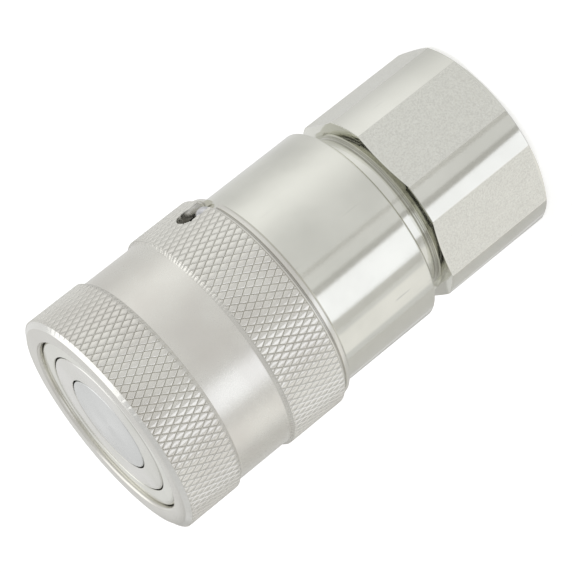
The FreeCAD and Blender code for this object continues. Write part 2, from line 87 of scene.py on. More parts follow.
def edit(piece: bpy.types.Object, mode: str = "VERT") -> bmesh.types.BMesh:
    """Open a piece in edit mode.

    Args:
        piece: the mesh object to open.
        mode: the kind of element that is selected, VERT, EDGE or FACE.

    Returns:
        The mesh that is being edited.
    """
    make_active(piece)
    bpy.ops.object.mode_set(mode="EDIT")
    bpy.ops.mesh.select_mode(type=mode)
    return bmesh.from_edit_mesh(piece.data)


def settle(piece: bpy.types.Object) -> None:
    """Apply a piece's place, turn and scale, so that its object sits at the origin."""
    make_active(piece)
    bpy.ops.object.transform_apply(location=True, rotation=True, scale=True)


def weld(piece: bpy.types.Object, distance: float = 0.002) -> None:
    """Merge doubles and turn every face outwards.

    Args:
        piece: the mesh object to clean.
        distance: how near two vertices are merged, in millimetres.
    """
    edit(piece)
    bpy.ops.mesh.select_all(action="SELECT")
    bpy.ops.mesh.remove_doubles(threshold=distance * MM)
    bpy.ops.mesh.normals_make_consistent(inside=False)
    bpy.ops.object.mode_set(mode="OBJECT")


def smooth(piece: bpy.types.Object, degrees: float) -> None:
    """Shade a piece smooth, apart from edges sharper than an angle in degrees."""
    make_active(piece)
    bpy.ops.object.shade_smooth_by_angle(angle=math.radians(degrees))


def cut_away(piece: bpy.types.Object, cutter: bpy.types.Object) -> None:
    """Take a cutter's solid out of a piece and delete the cutter."""
    make_active(piece)
    tool = piece.modifiers.new(cutter.name, "BOOLEAN")
    tool.operation = "DIFFERENCE"
    tool.solver = "EXACT"
    tool.object = cutter
    bpy.ops.object.modifier_apply(modifier=tool.name)
    bpy.data.objects.remove(cutter)


def ease(corners: Sequence[ProfilePoint], size: float, closed: bool = True,
         steps: int = 3) -> list[ProfilePoint]:
    """Round the corners of a profile a little, as a tool or a deburring wheel leaves them.

    Args:
        corners: the profile's (radius, height) corners in order.
        size: how far from its corner each rounding starts, at most.
        closed: whether the last corner joins the first.
        steps: how many lines make up one rounding.

    Returns:
        The profile's points with the rounded corners.
    """
    points: list[ProfilePoint] = []
    count = len(corners)
    for index, corner in enumerate(corners):
        if not closed and index in (0, count - 1):
            points.append(corner)
            continue
        here = Vector(corner)
        before = Vector(corners[index - 1])
        after = Vector(corners[(index + 1) % count])
        room = min(size, 0.4 * (before - here).length, 0.4 * (after - here).length)
        start = here + (before - here).normalized() * room
        end = here + (after - here).normalized() * room
        for step in range(steps + 1):
            share = step / steps
            point = start.lerp(here, share).lerp(here.lerp(end, share), share)
            points.append((point.x, point.y))
    return points


class Turning:
    """A turned skin that is drawn ring by ring from one circle with the extrude tool."""

    def __init__(self, name: str, start: ProfilePoint, segments: int = 192) -> None:
        """Add the first circle and open it in edit mode.

        Args:
            name: the piece's name.
            start: the first ring's radius and height.
            segments: how many vertices each ring has.
        """
        radius, height = start
        clear_selection()
        bpy.ops.mesh.primitive_circle_add(vertices=segments, radius=radius * MM, fill_type="NOTHING",
                                          location=(0, 0, height * MM))
        self.piece = bpy.context.object
        self.piece.name = name
        self.piece.data.name = name
        bpy.ops.object.transform_apply(location=True)
        self.radius = radius
        self.height = height
        edit(self.piece)
        bpy.ops.mesh.select_all(action="SELECT")

    def to(self, radius: float, height: float) -> None:
        """Extrude the last ring to a new radius and height."""
        rise = (height - self.height) * MM
        bpy.ops.mesh.extrude_edges_move(TRANSFORM_OT_translate={"value": (0, 0, rise)})
        ratio = radius / self.radius
        bpy.ops.transform.resize(value=(ratio, ratio, 1), center_override=(0, 0, height * MM))
        self.radius = radius
        self.height = height

    def along(self, profile: Sequence[ProfilePoint]) -> None:
        """Extrude the last ring through each point of a profile."""
        for radius, height in profile:
            self.to(radius, height)

    def thread(self, groove: RadiusAt, root: float, start: float, end: float, pitch: float,
               steps: int = 9) -> None:
        """Extrude the last ring along a thread.

        Args:
            groove: the depth of the thread's flank at a share of one turn, from 0 to 1.
            root: the radius of the plain wall that the thread is cut in.
            start: the height at which the thread begins.
            end: the height at which it ends.
            pitch: the thread's pitch.
            steps: how many rings make up one pitch.
        """
        count = max(2, round(abs(end - start) / pitch * steps))
        for index in range(count + 1):
            height = start + (end - start) * index / count
            self.to(root, height)
            fade = min(1.0, index / steps, (count - index) / steps)
            mesh = bmesh.from_edit_mesh(self.piece.data)
            for vertex in mesh.verts:
                if vertex.select:
                    turn = math.atan2(vertex.co.y, vertex.co.x) / math.tau
                    share = (height / pitch - turn) % 1.0
                    reach = (root + fade * groove(share)) * MM
                    ring = Vector((vertex.co.x, vertex.co.y)).normalized() * reach
                    vertex.co.x = ring.x
                    vertex.co.y = ring.y
            bmesh.update_edit_mesh(self.piece.data)

    def finish(self, closed: bool = True) -> bpy.types.Object:
        """Leave edit mode and clean the skin.

        Args:
            closed: whether the last ring lies on the first. The ends are capped if it doesn't.

        Returns:
            The turned piece.
        """
        if not closed:
            bpy.ops.mesh.select_all(action="SELECT")
            bpy.ops.mesh.fill_holes(sides=0)
        bpy.ops.object.mode_set(mode="OBJECT")
        weld(self.piece)
        return self.piece


def turn_solid(name: str, corners: Sequence[ProfilePoint], easing: float,
               segments: int = 192) -> bpy.types.Object:
    """Turn a ring-shaped solid from the corners of its closed profile.

    Args:
        name: the piece's name.
        corners: the profile's (radius, height) corners in order.
        easing: how far its edges are rounded.
        segments: how many vertices each ring has.

    Returns:
        The closed solid.
    """
    profile = ease(corners, easing)
    turning = Turning(name, profile[0], segments)
    turning.along(profile[1:])
    turning.along(profile[:1])
    return turning.finish()


def radial_cylinder(name: str, radius: float, inner: float, outer: float, height: float,
                    segments: int = 48) -> bpy.types.Object:
    """Add a cylinder that points away from the axis along +X.

    Args:
        name: the cutter's name.
        radius: the cylinder's radius.
        inner: the distance of its inner end from the axis.
        outer: the distance of its outer end from the axis.
        height: the height of its middle line.
        segments: how many sides it has.

    Returns:
        The cylinder, with its place in its mesh.
    """
    clear_selection()
    bpy.ops.mesh.primitive_cylinder_add(vertices=segments, radius=radius * MM,
                                        depth=(outer - inner) * MM,
                                        location=((inner + outer) / 2 * MM, 0, height * MM),
                                        rotation=(0, math.pi / 2, 0))
    cutter = bpy.context.object
    cutter.name = name
    settle(cutter)
    return cutter


# Shader nodes


def maths(operation: str, reflected: bool = False) -> Callable[["Sock", "Value"], "Sock"]:
    """Make an operator's method, which adds a Math node.

    Args:
        operation: the node's operation.
        reflected: whether the socket stands to the right of the operator.

    Returns:
        The method, for a class of sockets.
    """
    def method(own: "Sock", other: "Value") -> "Sock":
        """Add the Math node to the socket's own node tree."""
        values = [other, own] if reflected else [own, other]
        return own.shader.node("ShaderNodeMath", {"operation": operation}, values)

    return method


class Sock:
    """A shader socket that can be used in a Python expression."""

    __add__ = maths("ADD")
    __radd__ = maths("ADD", reflected=True)
    __sub__ = maths("SUBTRACT")
    __rsub__ = maths("SUBTRACT", reflected=True)
    __mul__ = maths("MULTIPLY")
    __rmul__ = maths("MULTIPLY", reflected=True)
    __truediv__ = maths("DIVIDE")
    __rtruediv__ = maths("DIVIDE", reflected=True)
    __pow__ = maths("POWER")
    __gt__ = maths("GREATER_THAN")
    __lt__ = maths("LESS_THAN")

    def __init__(self, shader: "NodeSheet", socket: bpy.types.NodeSocket) -> None:
        """Wrap a socket of a shader's node tree."""
        self.shader = shader
        self.socket = socket

    def __abs__(self) -> "Sock":
        """Return this without its sign."""
        return self.shader.node("ShaderNodeMath", {"operation": "ABSOLUTE"}, [self])

    def root(self) -> "Sock":
        """Return the square root of this."""
        return self.shader.node("ShaderNodeMath", {"operation": "SQRT"}, [self])

    def held(self) -> "Sock":
        """Return this held between 0 and 1."""
        return self.shader.node("ShaderNodeMath", {"operation": "ADD", "use_clamp": True}, [self, 0.0])

    def rise(self, low: float, high: float) -> "Sock":
        """Return a smooth step of this from 0 at low to 1 at high."""
        settings = {"interpolation_type": "SMOOTHSTEP", "clamp": True}
        inputs = {"Value": self, "From Min": low, "From Max": high, "To Min": 0.0, "To Max": 1.0}
        return self.shader.node("ShaderNodeMapRange", settings, inputs)

    def between(self, low: float, high: float, edge: float) -> "Sock":
        """Return 1 from low to high and 0 elsewhere, with soft steps inside both ends."""
        return self.rise(low, low + edge) * (1 - self.rise(high - edge, high))


Value = Union[float, Sock]
Colour = tuple[float, float, float]


class NodeSheet:
    """A node tree that nodes are added to, one call for each."""

    def __init__(self, tree: bpy.types.NodeTree) -> None:
        """Work on a node tree."""
        self.tree = tree

    def node(self, kind: str, settings: dict[str, Any], inputs: Union[Sequence[Any], dict[str, Any]],
             output: Union[int, str] = 0) -> Sock:
        """Add a node.

        Args:
            kind: the node's type.
            settings: its own settings, which are set before its sockets.
            inputs: the values or links of its sockets, in order or by name.
            output: the output that is returned.

        Returns:
            The chosen output.
        """
        made = self.tree.nodes.new(kind)
        for key, value in settings.items():
            setattr(made, key, value)
        pairs = inputs.items() if isinstance(inputs, dict) else enumerate(inputs)
        for key, value in pairs:
            self.feed(made.inputs[key], value)
        return Sock(self, made.outputs[output])

    def feed(self, socket: bpy.types.NodeSocket, value: Any) -> None:
        """Link or set one input socket."""
        if isinstance(value, Sock):
            self.tree.links.new(value.socket, socket)
        elif isinstance(value, tuple) and socket.type == "RGBA":
            socket.default_value = (*value[:3], 1.0)
        else:
            socket.default_value = value


class Shader(NodeSheet):
    """The node tree of one material, with its coordinates in millimetres."""

    def __init__(self, name: str) -> None:
        """Make an empty material with a Principled shader."""
        self.material = bpy.data.materials.new(name)
        self.material.use_nodes = True
        super().__init__(self.material.node_tree)
        self.surface = self.tree.nodes["Principled BSDF"]
        place = self.node("ShaderNodeTexCoord", {}, {}, "Object")
        self.place = self.node("ShaderNodeVectorMath", {"operation": "SCALE"},
                               {0: place, "Scale": 1 / MM})
        split = self.node("ShaderNodeSeparateXYZ", {}, [self.place]).socket.node
        self.x, self.y, self.z = (Sock(self, split.outputs[axis]) for axis in "XYZ")
        self.radius = (self.x * self.x + self.y * self.y).root()
        self.angle = self.node("ShaderNodeMath", {"operation": "ARCTAN2"}, [self.y, self.x])

    def point(self, x: Value, y: Value, z: Value) -> Sock:
        """Return a vector of three values."""
        return self.node("ShaderNodeCombineXYZ", {}, [x, y, z])

    def noise(self, where: Sock, scale: float, detail: float = 2.0, rough: float = 0.5) -> Sock:
        """Return cloudy noise from about 0.3 to 0.7, with features of 1 / scale."""
        inputs = {"Vector": where, "Scale": scale, "Detail": detail, "Roughness": rough}
        return self.node("ShaderNodeTexNoise", {"noise_dimensions": "3D"}, inputs, 0)

    def blend(self, share: Value, first: Union[Colour, Sock], second: Union[Colour, Sock]) -> Sock:
        """Mix two colours."""
        settings = {"data_type": "RGBA", "blend_type": "MIX"}
        return self.node("ShaderNodeMix", settings, {0: share, 6: first, 7: second}, 2)

    def stretched(self, x: float, y: float, z: float, turn: float = 0.0) -> Sock:
        """Return the place turned about the axis by an angle and stretched along each direction."""
        settings = {"vector_type": "POINT"}
        inputs = {"Vector": self.place, "Rotation": (turn, turn * 0.6, turn * 0.3), "Scale": (x, y, z)}
        return self.node("ShaderNodeMapping", settings, inputs)

    def lathe_lines(self, pitch: float, wander: float = 0.6) -> Sock:
        """Return the fine rings that a lathe tool leaves, on sides and faces alike.

        Args:
            pitch: the distance between two rings.
            wander: how much the rings change round the part.

        Returns:
            The height of the rings, about 0.5 in the middle.
        """
        where = self.point(self.radius / pitch, self.angle * wander, self.z / pitch)
        return self.noise(where, 1.0, 2.0, 0.6)

    def scratches(self, turn: float, spread: float, amount: float) -> Sock:
        """Return thin straight marks in one direction.

        Args:
            turn: the direction's angle in radians.
            spread: the distance between marks.
            amount: the share of the surface that the marks take, from 0 to 1.

        Returns:
            1 on a mark and 0 elsewhere.
        """
        thin = self.noise(self.stretched(0.16 / spread, 9.0 / spread, 0.16 / spread, turn), 1.0, 1.0)
        patches = self.noise(self.place, 0.22, 2.0)
        return thin.rise(0.76 - amount, 0.80 - amount) * patches.rise(0.48, 0.62)

    def bump(self, height: Sock, strength: float, distance: float) -> None:
        """Feed a height into the surface's normal.

        Args:
            height: the height as a share of the distance.
            strength: how strongly it acts, from 0 to 1.
            distance: the depth that the height stands for, in millimetres.
        """
        inputs = {"Height": height, "Strength": strength, "Distance": distance * MM}
        bumped = self.node("ShaderNodeBump", {}, inputs)
        self.feed(self.surface.inputs["Normal"], bumped)

    def finish(self, colour: Union[Colour, Sock], roughness: Value, metallic: float = 1.0,
               **constants: float) -> bpy.types.Material:
        """Set the surface's colour, roughness and constant sockets.

        Args:
            colour: the base colour.
            roughness: the roughness.
            metallic: 1 on metal and 0 elsewhere.
            constants: other sockets of the shader by name, with _ for a space.

        Returns:
            The finished material.
        """
        self.feed(self.surface.inputs["Base Color"], colour)
        self.feed(self.surface.inputs["Roughness"], roughness)
        self.feed(self.surface.inputs["Metallic"], metallic)
        for name, value in constants.items():
            self.feed(self.surface.inputs[name.replace("_", " ").title()], value)
        return self.material


# Finishes


@dataclass
class Skin:
    """What a finish varies over a surface, while it is being built."""

    colour: Sock
    roughness: Sock
    height: Sock


@dataclass(frozen=True)
class Plating:
    """Bright zinc plating, with the marks that its piece was made and handled with."""

    name: str
    colour: Colour = (0.80, 0.80, 0.735)
    shade: Colour = (0.72, 0.72, 0.66)
    roughness: float = 0.2
    grain: float = 0.3
    grain_size: float = 0.12
    lines: float = 0.3
    line_pitch: float = 0.12
    marks: float = 0.02
    brushed: float = 0.0

    def detail(self, shader: Shader, skin: Skin) -> None:
        """Add what a piece's own plating shows, which is nothing on a plain one."""

    def material(self) -> bpy.types.Material:
        """Build the plating's material."""
        shader = Shader(self.name)
        clouds = shader.noise(shader.place, 0.09, 3.0)
        fine = shader.noise(shader.place, 1 / self.grain_size, 2.0)
        turned = shader.lathe_lines(self.line_pitch)
        scuffs = shader.scratches(0.5, 1.3, self.marks) + shader.scratches(-0.9, 1.9, self.marks)
        colour = shader.blend(clouds.rise(0.35, 0.72), self.colour, self.shade)
        skin = Skin(
            shader.blend(scuffs.held() * 0.35, colour, (0.52, 0.51, 0.49)),
            self.roughness + (clouds - 0.5) * 0.08 + (fine - 0.5) * 0.10 + scuffs * 0.12,
            (fine - 0.5) * self.grain + (turned - 0.5) * self.lines - scuffs * 0.5)
        self.detail(shader, skin)
        shader.bump(skin.height, 0.5, 0.012)
        return shader.finish(skin.colour, skin.roughness.held(), anisotropic=self.brushed)


@dataclass(frozen=True)
class SleevePlating(Plating):
    """Satin plating, with painted shade in the knurl's grooves, in the rear line and on the front rim,
    and a painted highlight on the polished front bevel.
    """

    groove_floor: float = 18.91
    groove_top: float = 19.01
    groove_shade_colour: Colour = (0.50, 0.495, 0.46)
    line_ends: tuple[float, float] = (43.30, 43.64)
    shade_line_colour: Colour = (0.36, 0.355, 0.33)
    waist_ends: tuple[float, float] = (54.5, 64.2)
    rim_radius: float = 17.98
    rim_height: float = 74.40
    rim_shade_colour: Colour = (0.66, 0.65, 0.61)
    bevel_radius: float = 18.88
    bevel_height: float = 73.88
    bevel_highlight_colour: Colour = (0.84, 0.84, 0.81)

    def detail(self, shader: Shader, skin: Skin) -> None:
        """Paint shade into the grooves, the rear line and the rim, and paint a highlight on the
        polished bevel.
        """
        # Painted shade: the floors of the knurl's grooves are darkened, and made rougher.
        below = 1 - shader.radius.rise(self.groove_floor, self.groove_top)
        groove_shade = below * shader.radius.rise(self.groove_floor - 0.06, self.groove_floor - 0.02)
        skin.colour = shader.blend(groove_shade * 0.34, skin.colour, self.groove_shade_colour)
        # Painted shade: a dark line in the small groove of the rear chamfer.
        line = shader.z.between(*self.line_ends, 0.08)
        skin.colour = shader.blend(line * 0.6, skin.colour, self.shade_line_colour)
        outside = shader.radius.rise(self.rim_radius, self.rim_radius + 0.08)
        # Painted shade: the flat front rim inside the bevel is darkened.
        rim = shader.z.rise(self.rim_height, self.rim_height + 0.06) * (1 - outside)
        skin.colour = shader.blend(rim * 0.5, skin.colour, self.rim_shade_colour)
        # Painted highlight: the front bevel is lightened; its lower roughness stands for its polish.
        front = shader.z.rise(self.bevel_height, self.bevel_height + 0.05)
        bevel = front * (1 - shader.radius.rise(self.bevel_radius - 0.04, self.bevel_radius)) * outside
        skin.colour = shader.blend(bevel * 0.7, skin.colour, self.bevel_highlight_colour)
        waist = shader.z.between(*self.waist_ends, 0.2)
        skin.roughness = skin.roughness + groove_shade * 0.15 - bevel * 0.06 + waist * 0.035


@dataclass(frozen=True)
class HexagonPlating(Plating):
    """Polished plating with blasted flats, painted glints on the flats and painted shade in the gaps
    beside the neck.
    """

    flat_reach: float = 16.95
    flat_floor: float = 15.97
    flat_ends: tuple[float, float] = (0.55, 20.35)
    flat_roughness: float = 0.36
    flat_colour: Colour = (0.82, 0.82, 0.755)
    pit_colour: Colour = (0.62, 0.615, 0.57)
    glint_colour: Colour = (0.97, 0.97, 0.93)
    neck_radii: tuple[float, float] = (13.0, 14.6)
    gap_shade_colour: Colour = (0.34, 0.335, 0.31)

    def detail(self, shader: Shader, skin: Skin) -> None:
        """Paint shade into the gaps at the neck, and blast the six flats, with painted glints among
        their pits.
        """
        # Painted shade: the gaps beside the hexagon's front face and beside the body's rear end are
        # darkened.
        neck_gap_shade = shader.z.rise(20.82, 20.95) * (1 - shader.z.rise(21.25, 21.6)) + shader.z.rise(23.5, 23.9)
        inner, outer = self.neck_radii
        neck_gap_shade = neck_gap_shade.held() * (shader.radius < outer) * (shader.radius > inner)
        skin.colour = shader.blend(neck_gap_shade * 0.3, skin.colour, self.gap_shade_colour)
        low, high = self.flat_ends
        flat = 1 - shader.radius.rise(self.flat_reach - 0.05, self.flat_reach - 0.02)
        flat = flat * (shader.radius > self.flat_floor) * (shader.z > low) * (shader.z < high)
        skin.colour = shader.blend(flat * 0.9, skin.colour, self.flat_colour)
        pits = shader.noise(shader.place, 3.4, 2.0, 0.7).rise(0.38, 0.66)
        skin.colour = shader.blend(flat * pits * 0.55, skin.colour, self.pit_colour)
        # Painted glints: light specks on the flats stand in for glinting blast grains, and are
        # smoother.
        sparkle = shader.noise(shader.place, 9.0, 1.0).rise(0.60, 0.70)
        skin.colour = shader.blend(flat * sparkle * 0.6, skin.colour, self.glint_colour)
        rougher = self.flat_roughness - self.roughness
        skin.roughness = skin.roughness + flat * rougher - flat * sparkle * 0.16
        skin.height = skin.height + flat * (shader.noise(shader.place, 5.5, 2.0) - 0.5) * 1.6


@dataclass(frozen=True)
class BarrelPlating(Plating):
    """Polished plating, with painted shade in the pocket round the key ball, under the sleeve's slot.
    """

    pocket_half: float = 2.0
    pocket_reach: float = 14.0
    pocket_shade_colour: Colour = (0.10, 0.095, 0.085)

    def detail(self, shader: Shader, skin: Skin) -> None:
        """Paint shade into the pocket round the key ball, and make it rougher."""
        # Painted shade: the barrel is darkened where it lies in the pocket under the sleeve's slot.
        side = 1 - abs(shader.y).rise(self.pocket_half - 0.3, self.pocket_half + 0.3)
        length = shader.z.rise(44.0, 45.4) * (1 - shader.z.rise(50.0, 51.0))
        pocket = side * (shader.x > self.pocket_reach) * length
        skin.colour = shader.blend(pocket * 0.85, skin.colour, self.pocket_shade_colour)
        skin.roughness = skin.roughness + pocket * 0.3


@dataclass(frozen=True)
class HardSteel:
    """Bare hard steel: a polished ball or drawn spring wire."""

    name: str
    colour: Colour
    roughness: float
    lines: float = 0.0

    def material(self) -> bpy.types.Material:
        """Build the steel's material."""
        shader = Shader(self.name)
        clouds = shader.noise(shader.place, 0.6, 3.0)
        drawn = shader.noise(shader.stretched(0.8, 0.8, 14.0, 0.15), 1.0, 2.0)
        colour = shader.blend(clouds.rise(0.35, 0.7), self.colour, tuple(0.8 * c for c in self.colour))
        roughness = self.roughness + (clouds - 0.5) * 0.1 + (drawn - 0.5) * self.lines * 0.3
        shader.bump((drawn - 0.5) * self.lines, 0.4, 0.01)
        return shader.finish(colour, roughness.held())


@dataclass(frozen=True)
class Seal:
    """Moulded rubber or plastic of a seal ring."""

    name: str
    colour: Colour
    roughness: float
    grain_size: float = 0.08

    def material(self) -> bpy.types.Material:
        """Build the seal's material."""
        shader = Shader(self.name)
        clouds = shader.noise(shader.place, 0.4, 2.0)
        skin = shader.noise(shader.place, 1 / self.grain_size, 2.0)
        colour = shader.blend(clouds.rise(0.3, 0.7), self.colour, tuple(0.75 * c for c in self.colour))
        roughness = self.roughness + (clouds - 0.5) * 0.15
        shader.bump(skin - 0.5, 0.3, 0.01)
        return shader.finish(colour, roughness.held(), metallic=0.0)


class Finish(Enum):
    """Every finish on the coupler."""

    SLEEVE = SleevePlating("sleeve plating", (0.805, 0.795, 0.74), (0.735, 0.715, 0.665),
                           roughness=0.25, grain=1.0, grain_size=0.11, lines=0.25)
    BODY = BarrelPlating("polished barrel", roughness=0.12, grain=0.15, grain_size=0.5, lines=0.35,
                         line_pitch=0.10, marks=0.05)
    ADAPTER = HexagonPlating("hexagon plating", (0.795, 0.795, 0.735), (0.74, 0.74, 0.68),
                             roughness=0.10, grain=0.2, lines=0.25, marks=0.03)
    VALVE = Plating("ground valve face", (0.81, 0.80, 0.77), roughness=0.20, grain=0.25,
                    lines=0.8, line_pitch=0.16, brushed=0.35)
    STEM = Plating("turned stem face", (0.765, 0.775, 0.765), (0.70, 0.71, 0.70), roughness=0.22,
                   grain=0.2, lines=1.6, line_pitch=0.20, marks=0.01, brushed=0.75)
    INSIDE = Plating("inner plating", roughness=0.28, grain=0.3, lines=0.5)
    BALL = HardSteel("polished ball", (0.78, 0.78, 0.79), 0.09)
    WIRE = HardSteel("drawn wire", (0.42, 0.41, 0.39), 0.32, lines=1.0)
    RUBBER = Seal("black rubber", (0.028, 0.028, 0.030), 0.52)
    PLASTIC = Seal("pale seal plastic", (0.80, 0.79, 0.74), 0.38)


class Finishes:
    """Makes each finish's material once."""

    def __init__(self) -> None:
        """Start with no material made."""
        self.made: dict[Finish, bpy.types.Material] = {}

    def material(self, finish: Finish) -> bpy.types.Material:
        """Return a finish's material, made on its first use."""
        if finish not in self.made:
            self.made[finish] = finish.value.material()
        return self.made[finish]

    def dress(self, piece: bpy.types.Object, finish: Finish) -> None:
        """Give a piece one finish all over."""
        piece.data.materials.clear()
        piece.data.materials.append(self.material(finish))


def report(piece: bpy.types.Object) -> None:
    """Log a piece's name and its number of triangles."""
    piece.data.calc_loop_triangles()
    log.info("%s: %d triangles", piece.name, len(piece.data.loop_triangles))


def place_piece(piece: bpy.types.Object, body: str, slot: str, *nodes: str) -> None:
    """Let a piece ride on its body and stand for its nodes, and log its triangles.

    Args:
        piece: the finished piece.
        body: the body it rides on.
        slot: not used.
        nodes: the nodes it stands for.
    """
    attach(piece, body)
    if nodes:
        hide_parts(*nodes)
    report(piece)


# The locking sleeve


@dataclass
class Knurl:
    """A band of flat-topped diamonds, rolled round the sleeve."""

    radius: float = 19.04
    count: int = 94
    half_height: float = 1.1
    depth: float = 0.15
    flank: float = 0.10
    crown: float = 0.075
    crown_rise: float = 0.035

    def flat_tile(self) -> bpy.types.Object:
        """Model one diamond lying flat, with x round the sleeve and y along it."""
        half_width = math.pi * self.radius / self.count
        clear_selection()
        bpy.ops.mesh.primitive_circle_add(vertices=4, radius=MM, fill_type="NGON", location=(0, 0, 0))
        tile = bpy.context.object
        edit(tile, "FACE")
        bpy.ops.mesh.select_all(action="SELECT")
        bpy.ops.transform.resize(value=(half_width, self.half_height, 1), center_override=(0, 0, 0))
        rise = self.depth - self.crown_rise
        bpy.ops.mesh.inset(thickness=self.flank * MM, depth=rise * MM, use_boundary=True)
        bpy.ops.mesh.inset(thickness=self.crown * MM, depth=self.crown_rise * MM, use_boundary=True)
        bpy.ops.object.mode_set(mode="OBJECT")
        return tile

    def band(self, name: str, start: float, end: float) -> bpy.types.Object:
        """Lay the tiles in rows, roll them round the sleeve and trim the band's ends.

        Args:
            name: the band's name.
            start: the height of its lower end.
            end: the height of its upper end.

        Returns:
            The open band, with a ragged loop at each end.
        """
        tile = self.flat_tile()
        pitch = math.tau * self.radius / self.count
        rows = math.ceil((end - start) / self.half_height) + 2
        make_active(tile)
        across = tile.modifiers.new("across", "ARRAY")
        across.count = self.count
        across.use_relative_offset = False
        across.use_constant_offset = True
        across.constant_offset_displace = (pitch * MM, 0, 0)
        bpy.ops.object.modifier_apply(modifier="across")
        edit(tile)
        bpy.ops.mesh.select_all(action="SELECT")
        for row in range(1, rows):
            side = 1 if row % 2 else -1
            bpy.ops.mesh.duplicate_move(TRANSFORM_OT_translate={
                "value": (side * pitch / 2 * MM, self.half_height * MM, 0)})
        mesh = bmesh.from_edit_mesh(tile.data)
        base = start - self.half_height * 0.6
        for vertex in mesh.verts:
            angle = vertex.co.x / (self.radius * MM)
            reach = (self.radius - self.depth) * MM + vertex.co.z
            height = base * MM + vertex.co.y
            vertex.co = (reach * math.cos(angle), reach * math.sin(angle), height)
        bmesh.update_edit_mesh(tile.data)
        bpy.ops.mesh.select_all(action="SELECT")
        bpy.ops.mesh.remove_doubles(threshold=0.004 * MM)
        for height, outer in ((start, False), (end, True)):
            bpy.ops.mesh.select_all(action="SELECT")
            bpy.ops.mesh.bisect(plane_co=(0, 0, height * MM), plane_no=(0, 0, 1),
                                clear_outer=outer, clear_inner=not outer, threshold=1e-8)
        bpy.ops.object.mode_set(mode="OBJECT")
        tile.name = name
        return tile


